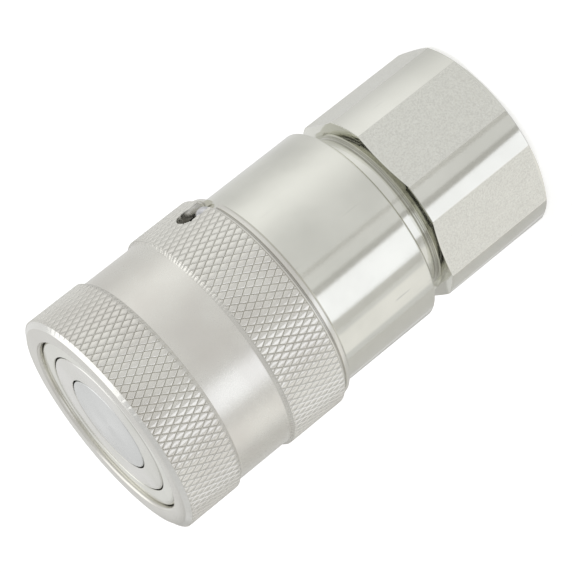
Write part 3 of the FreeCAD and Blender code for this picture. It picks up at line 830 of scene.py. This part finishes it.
@dataclass
class LockingSleeve:
    """The sliding sleeve with two knurled bands, a waist and a slot in its rear edge."""

    radius: float = 19.04
    waist: float = 18.45
    bore: float = 17.45
    land: float = 15.3
    recess: float = 16.6
    rear: float = 42.1
    face: float = 74.5
    rear_band: tuple[float, float] = (44.2, 54.05)
    front_band: tuple[float, float] = (64.8, 73.9)
    waist_ends: tuple[float, float] = (54.65, 64.1)
    slot_half: float = 1.8
    slot_tip: float = 49.1
    land_start: float = 58.5
    ball_recess: tuple[float, float] = (66.15, 73.2)
    seam: tuple[float, float] = (49.8, 50.2)
    fillet: float = 0.06

    def grow(self, piece: bpy.types.Object, from_height: float,
             rings: Sequence[ProfilePoint]) -> None:
        """Extrude the open loop at a height through a row of rings.

        Args:
            piece: the sleeve so far.
            from_height: the height of the open loop.
            rings: the radius and height of each new ring.
        """
        mesh = edit(piece, "EDGE")
        bpy.ops.mesh.select_all(action="DESELECT")
        for edge in mesh.edges:
            level = max(abs(vertex.co.z - from_height * MM) for vertex in edge.verts)
            edge.select_set(edge.is_boundary and level < 0.005 * MM)
        for radius, height in rings:
            bpy.ops.mesh.extrude_edges_move(TRANSFORM_OT_translate={"value": (0, 0, 0)})
            mesh = bmesh.from_edit_mesh(piece.data)
            for vertex in mesh.verts:
                if vertex.select:
                    ring = Vector((vertex.co.x, vertex.co.y)).normalized() * radius * MM
                    vertex.co = (ring.x, ring.y, height * MM)
            bmesh.update_edit_mesh(piece.data)
        bpy.ops.object.mode_set(mode="OBJECT")

    def bridge(self, piece: bpy.types.Object, first: float, second: float) -> None:
        """Join the two open loops that lie at two heights."""
        mesh = edit(piece, "EDGE")
        bpy.ops.mesh.select_all(action="DESELECT")
        for edge in mesh.edges:
            if edge.is_boundary:
                level = sum(vertex.co.z for vertex in edge.verts) / 2
                near = min(abs(level - first * MM), abs(level - second * MM))
                edge.select_set(near < 0.005 * MM)
        bpy.ops.mesh.bridge_edge_loops()
        bpy.ops.object.mode_set(mode="OBJECT")

    def slot_cutter(self) -> bpy.types.Object:
        """Model the round-ended cutter of the slot in the sleeve's rear edge."""
        height = self.slot_tip - self.slot_half
        cutter = radial_cylinder("slot_cutter", self.slot_half, 15.2, 21.0, height, 64)
        mesh = edit(cutter)
        bpy.ops.mesh.select_all(action="DESELECT")
        for vertex in mesh.verts:
            vertex.select_set(vertex.co.z < (height - 0.01) * MM)
        bpy.ops.mesh.select_mode(type="VERT")
        bpy.ops.transform.translate(value=(0, 0, -7 * MM))
        bpy.ops.object.mode_set(mode="OBJECT")
        return cutter

    def build(self) -> bpy.types.Object:
        """Model the whole sleeve."""
        knurl = Knurl(self.radius)
        sleeve = knurl.band("locking_sleeve_skin", *self.rear_band)
        front = knurl.band("front_band", *self.front_band)
        clear_selection()
        sleeve.select_set(True)
        front.select_set(True)
        bpy.context.view_layer.objects.active = sleeve
        bpy.ops.object.join()
        low, high = self.waist_ends
        middle = (low + high) / 2
        self.grow(sleeve, self.rear_band[1], [
            (self.waist + self.fillet, low - self.fillet), (self.waist + self.fillet / 5, low + 0.01),
            (self.waist, low + 2 * self.fillet), (self.waist, middle - 0.3)])
        self.grow(sleeve, self.front_band[0], [
            (self.waist + self.fillet, high + self.fillet), (self.waist + self.fillet / 5, high - 0.01),
            (self.waist, high - 2 * self.fillet), (self.waist, middle + 0.3)])
        self.bridge(sleeve, middle - 0.3, middle + 0.3)
        recess_start, recess_end = self.ball_recess
        inner = ease([
            (self.radius - 0.18, self.front_band[1] + 0.01), (self.radius - 1.0, self.face),
            (self.land + 0.3, self.face), (self.land, self.face - 0.3), (self.land, recess_end),
            (self.recess, recess_end), (self.recess, recess_start), (self.land, recess_start - 1.3),
            (self.land, self.land_start), (self.bore, self.land_start), (self.bore, self.seam[1])],
            0.08, closed=False)
        self.grow(sleeve, self.front_band[1], inner)
        rear = ease([
            (self.radius - 0.18, self.rear_band[0] - 0.02), (18.5, 43.9), (18.42, 43.62), (18.2, 43.52),
            (18.2, 43.36), (18.44, 43.24), (18.3, 42.6), (self.bore + 0.25, self.rear),
            (self.bore, self.rear), (self.bore, self.seam[0])], 0.06, closed=False)
        self.grow(sleeve, self.rear_band[0], rear)
        self.bridge(sleeve, *self.seam)
        weld(sleeve, 0.001)
        cut_away(sleeve, self.slot_cutter())
        smooth(sleeve, 28)
        return sleeve

    def make(self, finishes: Finishes) -> None:
        """Build, dress and place the sleeve."""
        sleeve = self.build()
        finishes.dress(sleeve, Finish.SLEEVE)
        place_piece(sleeve, "sleeve_assembly", "plated_steel", "locking_sleeve")


# The body


@dataclass
class Body:
    """The barrel and nose, with the ball holes and the seat of the key ball."""

    barrel: float = 17.3
    nose: float = 15.15
    bore: float = 12.3
    chamber: float = 13.0
    rear: float = 24.0
    shoulder: float = 47.0
    face: float = 73.9
    ball_height: float = 66.8
    ball_count: int = 12
    ball_hole: float = 2.05
    ball_lip: float = 1.85
    key_height: float = 44.9
    key_hole: float = 1.55
    rear_bore: float = 15.05
    thread_bore: float = 14.25
    thread_ends: tuple[float, float] = (24.8, 30.5)
    spigot_bore: float = 13.7
    chamber_ends: tuple[float, float] = (39.5, 58.0)
    seal_floor: float = 14.0
    seal_groove: tuple[float, float] = (60.35, 63.3)
    ring_floor: float = 13.95
    ring_groove: tuple[float, float] = (69.2, 70.8)
    chamfer: float = 0.4
    lead_in: float = 0.12

    def ball_cutters(self) -> bpy.types.Object:
        """Model one stepped ball hole's cutter and copy it round the nose."""
        turning = Turning("ball_holes", (self.ball_lip, 11.3), 48)
        turning.along([(self.ball_lip, 12.65), (self.ball_hole, 12.85), (self.ball_hole, 16.2)])
        cutter = turning.finish(closed=False)
        cutter.rotation_euler = (0, math.pi / 2, 0)
        cutter.location = (0, 0, self.ball_height * MM)
        settle(cutter)
        edit(cutter)
        bpy.ops.mesh.select_all(action="SELECT")
        share = (self.ball_count - 1) / self.ball_count
        bpy.ops.mesh.spin(steps=self.ball_count - 1, dupli=True, angle=math.tau * share,
                          center=(0, 0, 0), axis=(0, 0, 1))
        bpy.ops.object.mode_set(mode="OBJECT")
        weld(cutter)
        return cutter

    def build(self) -> bpy.types.Object:
        """Turn the body and cut its holes."""
        thread_start, thread_end = self.thread_ends
        chamber_start, chamber_end = self.chamber_ends
        seal_start, seal_end = self.seal_groove
        ring_start, ring_end = self.ring_groove
        body = turn_solid("body_skin", [
            (self.rear_bore, self.rear), (self.barrel - self.chamfer, self.rear),
            (self.barrel, self.rear + self.chamfer), (self.barrel, self.shoulder - self.chamfer),
            (self.barrel - self.chamfer, self.shoulder), (self.nose, self.shoulder),
            (self.nose, ring_start), (self.ring_floor, ring_start), (self.ring_floor, ring_end),
            (self.nose, ring_end), (self.nose, self.face - 0.3), (self.nose - 0.3, self.face),
            (self.bore + self.lead_in, self.face), (self.bore, self.face - self.lead_in),
            (self.bore, seal_end), (self.seal_floor, seal_end), (self.seal_floor, seal_start),
            (self.bore, seal_start), (self.bore, chamber_end), (self.chamber, chamber_end),
            (self.chamber, chamber_start), (self.spigot_bore, chamber_start),
            (self.spigot_bore, thread_end), (self.thread_bore, thread_end),
            (self.thread_bore, thread_start)], 0.12, 256)
        cut_away(body, self.ball_cutters())
        cut_away(body, radial_cylinder("key_seat", self.key_hole, 15.65, 18.6, self.key_height))
        smooth(body, 24)
        return body

    def make(self, finishes: Finishes) -> None:
        """Build, dress and place the body."""
        body = self.build()
        finishes.dress(body, Finish.BODY)
        place_piece(body, "coupler_body", "plated_steel", "body")


# The adapter


@dataclass
class Adapter:
    """The rear hexagon with its neck, its spigot inside the body and its threaded port."""

    flats: float = 16.0
    corner: float = 16.95
    neck: float = 14.0
    length: float = 20.9
    port_minor: float = 9.32
    port_major: float = 10.48
    port_pitch: float = 1.814
    port_depth: float = 15.0
    passage: float = 7.6
    passage_ends: tuple[float, float] = (16.03, 24.6)
    mouth: float = 8.6
    joint: float = 14.2
    joint_ends: tuple[float, float] = (25.2, 30.2)
    spigot: float = 13.65
    spigot_end: float = 35.5
    seal_floor: float = 11.9
    seal_groove: tuple[float, float] = (31.35, 34.2)
    chamfer: float = 0.6
    first_flat: float = 17.05

    def flank(self, share: float) -> float:
        """Return the depth of the port thread's flank at a share of one turn."""
        ridge = abs(2.0 * share - 1.0)
        return (self.port_major - self.port_minor) * min(1.0, max(0.0, (ridge - 0.14) / 0.72))

    def build(self) -> bpy.types.Object:
        """Turn the adapter, thread its port and cut the six flats."""
        seal_start, seal_end = self.seal_groove
        joint_start, joint_end = self.joint_ends
        outside = ease([
            (self.spigot, seal_end), (self.spigot, self.spigot_end - 0.4),
            (self.spigot - 0.4, self.spigot_end), (self.mouth, self.spigot_end),
            (self.passage, self.passage_ends[1]), (self.passage, self.passage_ends[0]),
            (self.port_minor, self.port_depth)], 0.1, closed=False)
        turning = Turning("adapter_skin", outside[0], 192)
        turning.along(outside[1:])
        turning.thread(self.flank, self.port_minor, self.port_depth - 0.2, 1.3, self.port_pitch)
        rest = ease([
            (self.port_minor, 1.2), (10.6, 0.0), (self.corner - 1.1, 0.0),
            (self.corner, self.chamfer), (self.corner, self.length - self.chamfer),
            (15.05, self.length), (self.neck - 0.1, self.length), (self.neck - 0.1, 21.25),
            (self.neck, 21.35), (self.neck, joint_start), (self.joint, joint_start),
            (self.joint, joint_end), (self.spigot, joint_end), (self.spigot, seal_start),
            (self.seal_floor, seal_start), (self.seal_floor, seal_end), (self.spigot, seal_end)],
            0.1, closed=False)
        turning.along(rest)
        adapter = turning.finish()
        edit(adapter)
        for index in range(6):
            angle = math.radians(self.first_flat + 60 * index)
            normal = (math.cos(angle), math.sin(angle), 0)
            bpy.ops.mesh.select_all(action="SELECT")
            bpy.ops.mesh.bisect(plane_co=(normal[0] * self.flats * MM, normal[1] * self.flats * MM, 0),
                                plane_no=normal, clear_outer=True, use_fill=True, threshold=1e-8)
        bpy.ops.object.mode_set(mode="OBJECT")
        smooth(adapter, 11)
        return adapter

    def make(self, finishes: Finishes) -> None:
        """Build, dress and place the adapter."""
        adapter = self.build()
        finishes.dress(adapter, Finish.ADAPTER)
        place_piece(adapter, "coupler_body", "plated_steel", "adapter")


# The flat valve face


@dataclass
class FlatFace:
    """The sliding valve ring and the fixed stem whose head is the disc in its middle."""

    face: float = 73.9
    ring: float = 12.2
    ring_bore: float = 8.1
    skirt_bore: float = 10.6
    flange: float = 12.9
    flange_ends: tuple[float, float] = (53.95, 57.95)
    head: float = 8.0
    head_start: float = 68.9
    seal_floor: float = 6.9
    seal_groove: tuple[float, float] = (70.3, 72.1)
    shank: float = 3.5
    collar: float = 4.6
    collar_ends: tuple[float, float] = (39.5, 41.5)
    tail: float = 3.0
    tail_end: float = 28.7

    def valve_ring(self) -> bpy.types.Object:
        """Turn the sliding valve sleeve."""
        low, high = self.flange_ends
        ring = turn_solid("valve_sleeve_skin", [
            (self.skirt_bore, low), (self.flange - 0.3, low), (self.flange, low + 0.3),
            (self.flange, high), (self.ring, high), (self.ring, self.face - 0.9),
            (self.ring - 0.1, self.face - 0.8), (self.ring - 0.1, self.face - 0.15),
            (self.ring - 0.25, self.face), (self.ring_bore + 0.07, self.face),
            (self.ring_bore + 0.02, self.face - 0.1), (self.ring_bore, self.head_start),
            (self.skirt_bore, self.head_start)], 0.07, 256)
        smooth(ring, 24)
        return ring

    def stem(self) -> bpy.types.Object:
        """Turn the stem with its head, its shank and its threaded tail."""
        seal_start, seal_end = self.seal_groove
        collar_start, collar_end = self.collar_ends
        profile = ease([
            (self.tail - 0.2, self.tail_end), (self.tail, self.tail_end + 0.2),
            (self.tail, collar_start), (self.collar, collar_start), (self.collar, collar_end),
            (self.shank, collar_end), (self.shank, self.head_start - 3.2),
            (self.head, self.head_start), (self.head, seal_start), (self.seal_floor, seal_start),
            (self.seal_floor, seal_end), (self.head, seal_end), (self.head, self.face - 0.9),
            (self.head - 0.1, self.face - 0.8), (self.head - 0.1, self.face - 0.1),
            (self.head - 0.2, self.face), (0.4, self.face)], 0.06, closed=False)
        turning = Turning("stem_skin", profile[0], 192)
        turning.along(profile[1:])
        stem = turning.finish(closed=False)
        smooth(stem, 24)
        return stem

    def make(self, finishes: Finishes) -> None:
        """Build, dress and place the ring and the stem."""
        ring = self.valve_ring()
        finishes.dress(ring, Finish.VALVE)
        place_piece(ring, "valve", "plated_steel", "valve_sleeve")
        stem = self.stem()
        finishes.dress(stem, Finish.STEM)
        place_piece(stem, "coupler_body", "plated_steel", "stem")


# The springs


@dataclass(frozen=True)
class Spring:
    """A coil spring that a sliding piece presses against a fixed seat."""

    node: str
    joint: str
    travel: float

    def build(self, nodes: dict[str, bpy.types.Object]) -> bpy.types.Object:
        """Copy the node's coil, so that the copy can be pressed together."""
        clear_selection()
        node = nodes[self.node]
        coil = bpy.data.objects.new(f"{self.node}_wire", node.data.copy())
        bpy.context.scene.collection.objects.link(coil)
        coil.data.name = coil.name
        weld(coil, 0.0005)
        smooth(coil, 40)
        return coil

    def make(self, nodes: dict[str, bpy.types.Object], finishes: Finishes) -> None:
        """Build, dress and place the spring."""
        coil = self.build(nodes)
        finishes.dress(coil, Finish.WIRE)
        place_piece(coil, "coupler_body", "spring_steel", self.node)
        low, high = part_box(self.node)
        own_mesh(coil)


# The pieces that stay as the frame gives them


@dataclass
class InnerParts:
    """The balls, springs, seals and fastenings, which keep their own shape."""

    nodes: dict[str, bpy.types.Object]

    def finish_of(self, name: str) -> Finish:
        """Return the finish of a node by its name."""
        if "ball" in name:
            return Finish.BALL
        if "spring" in name or name == "retaining_ring":
            return Finish.WIRE
        if "o_ring" in name:
            return Finish.RUBBER
        if "backup" in name or name == "stem_seal":
            return Finish.PLASTIC
        return Finish.INSIDE

    def make(self, finishes: Finishes) -> None:
        """Dress each node that still shows."""
        for name, node in sorted(self.nodes.items()):
            if not node.hide_render:
                finishes.dress(node, self.finish_of(name))
                log.info("%s: dressed", name)


# The studio


@dataclass(frozen=True)
class Softbox:
    """A rectangular light that faces the coupler."""

    name: str
    azimuth: float
    elevation: float
    distance: float
    width: float
    height: float
    radiance: float
    tint: Colour = (1.0, 1.0, 1.0)

    def add(self, aim: Vector) -> None:
        """Add the light at its place round a point."""
        azimuth = math.radians(self.azimuth)
        elevation = math.radians(self.elevation)
        away = Vector((math.cos(azimuth) * math.cos(elevation),
                       math.sin(azimuth) * math.cos(elevation), math.sin(elevation)))
        lamp = bpy.data.lights.new(self.name, "AREA")
        lamp.shape = "RECTANGLE"
        lamp.color = self.tint
        lamp.size = self.width
        lamp.size_y = self.height
        lamp.energy = self.radiance * math.pi * self.width * self.height
        light = bpy.data.objects.new(self.name, lamp)
        light.location = aim + away * self.distance
        light.rotation_euler = away.to_track_quat("Z", "Y").to_euler()
        light.visible_camera = False
        bpy.context.scene.collection.objects.link(light)


@dataclass(frozen=True)
class Card:
    """A grey card that stands round the coupler and shows as a darker line on polished metal."""

    name: str
    azimuth: float
    width: float
    shade: float
    distance: float = 0.5

    def add(self) -> None:
        """Stand the card at its place, facing the coupler."""
        azimuth = math.radians(self.azimuth)
        clear_selection()
        bpy.ops.mesh.primitive_plane_add(size=1.0, rotation=(math.pi / 2, 0, azimuth + math.pi / 2))
        card = bpy.context.object
        card.name = self.name
        card.scale = (self.width, 0.9, 1.0)
        card.location = (self.distance * math.cos(azimuth), self.distance * math.sin(azimuth), -0.12)
        settle(card)
        shader = Shader(self.name)
        clouds = shader.noise(shader.place, 0.01, 2.0)
        tone = (self.shade, self.shade * 0.99, self.shade * 0.965)
        lighter = tuple(1.05 * value for value in tone)
        shader.finish(shader.blend(clouds, tone, lighter), 0.9, metallic=0.0)
        card.data.materials.append(shader.material)
        card.visible_camera = False
        card.visible_shadow = False


@dataclass(frozen=True)
class Glow:
    """A soft patch of light in the room's even light, seen from the coupler."""

    azimuth: float
    elevation: float
    strength: float
    focus: float


@dataclass
class Studio:
    """The pale floor, the soft light and the camera."""

    aim: Vector
    softboxes: tuple[Softbox, ...] = (
        Softbox("key strip", -106.2, -14, 0.50, 0.27, 0.75, 0.49, (0.84, 0.87, 1.0)),
        Softbox("side strip", -152, -12, 0.55, 0.25, 0.8, 0.20, (1.0, 0.95, 0.90)),
        Softbox("top light", 54, 60, 0.60, 0.56, 0.50, 0.70),
    )
    cards: tuple[Card, ...] = (
        Card("card beside the key", -126.5, 0.11, 0.60),
        Card("card before the key", -86, 0.06, 0.52),
        Card("card at the camera", -66, 0.04, 0.62),
        Card("card at the side", 167, 0.34, 0.57),
        Card("card behind", 132, 0.14, 0.50),
    )
    glows: tuple[Glow, ...] = (
        Glow(16, -15, 0.34, 7.0),
        Glow(-55, -10, 0.12, 3.0),
        Glow(105, 10, 0.18, 3.0),
        Glow(-130, -15, 0.10, 3.0),
    )
    ambient: float = 0.64

    def floor(self) -> None:
        """Add the pale floor under the coupler."""
        clear_selection()
        bpy.ops.mesh.primitive_plane_add(size=6.0, location=(0, 0, -FLOOR_GAP * MM))
        floor = bpy.context.object
        floor.name = "floor"
        settle(floor)
        shader = Shader("pale floor")
        clouds = shader.noise(shader.place, 0.004, 2.0)
        colour = shader.blend(clouds, (0.93, 0.93, 0.93), (0.95, 0.95, 0.95))
        shader.feed(shader.surface.inputs["Emission Color"], (1.0, 1.0, 1.0))
        shader.feed(shader.surface.inputs["Emission Strength"], 0.45)
        floor.data.materials.append(shader.finish(colour, 0.9, metallic=0.0))
        floor.visible_glossy = False
        floor.visible_shadow = False

    def room(self) -> None:
        """Light the room evenly, with its soft patches."""
        world = bpy.data.worlds.new("room")
        world.use_nodes = True
        sheet = NodeSheet(world.node_tree)
        outward = sheet.node("ShaderNodeTexCoord", {}, {}, "Object")
        level: Value = self.ambient
        for glow in self.glows:
            azimuth = math.radians(glow.azimuth)
            elevation = math.radians(glow.elevation)
            middle = (math.cos(azimuth) * math.cos(elevation),
                      math.sin(azimuth) * math.cos(elevation), math.sin(elevation))
            along = sheet.node("ShaderNodeVectorMath", {"operation": "DOT_PRODUCT"},
                               [outward, middle], "Value")
            level = along.held() ** glow.focus * glow.strength + level
        backdrop = world.node_tree.nodes["Background"]
        sheet.feed(backdrop.inputs["Color"], (1.0, 1.0, 1.0))
        sheet.feed(backdrop.inputs["Strength"], level)
        bpy.context.scene.world = world

    def light(self) -> None:
        """Set the room's light, the softboxes and the grey cards."""
        self.room()
        for softbox in self.softboxes:
            softbox.add(self.aim)
        for card in self.cards:
            card.add()

    def camera(self) -> None:
        """Place the camera that sees the coupler as the photograph does."""
        right = Vector((-0.43160, -0.50814, -0.74533))
        up = Vector((0.77457, 0.21472, -0.59492))
        forward = Vector((-0.46234, 0.83408, -0.30092))
        place = Vector((180.233, -326.132, 156.756)) * MM
        lens = bpy.data.cameras.new("camera")
        lens.sensor_width = 36.0
        lens.lens = 162.84
        lens.clip_start = 0.01
        camera = bpy.data.objects.new("camera", lens)
        camera.matrix_world = Matrix((
            (right.x, up.x, -forward.x, place.x),
            (right.y, up.y, -forward.y, place.y),
            (right.z, up.z, -forward.z, place.z),
            (0, 0, 0, 1)))
        bpy.context.scene.collection.objects.link(camera)
        bpy.context.scene.camera = camera

    def make(self) -> None:
        """Set up the whole studio."""
        self.floor()
        self.light()
        self.camera()
        bpy.context.scene.view_settings.view_transform = "Standard"


def main() -> None:
    """Build the coupler's sub-assemblies, then the studio."""
    finishes = Finishes()
    LockingSleeve().make(finishes)
    Body().make(finishes)
    Adapter().make(finishes)
    FlatFace().make(finishes)
    Spring("sleeve_spring", "sleeve_slide", travel=2.3).make(frame["nodes"], finishes)
    Spring("valve_spring", "valve_slide", travel=11.0).make(frame["nodes"], finishes)
    InnerParts(frame["nodes"]).make(finishes)
    Studio(Vector((0, 0, 0.039))).make()


if __name__ == "__main__":
    main()
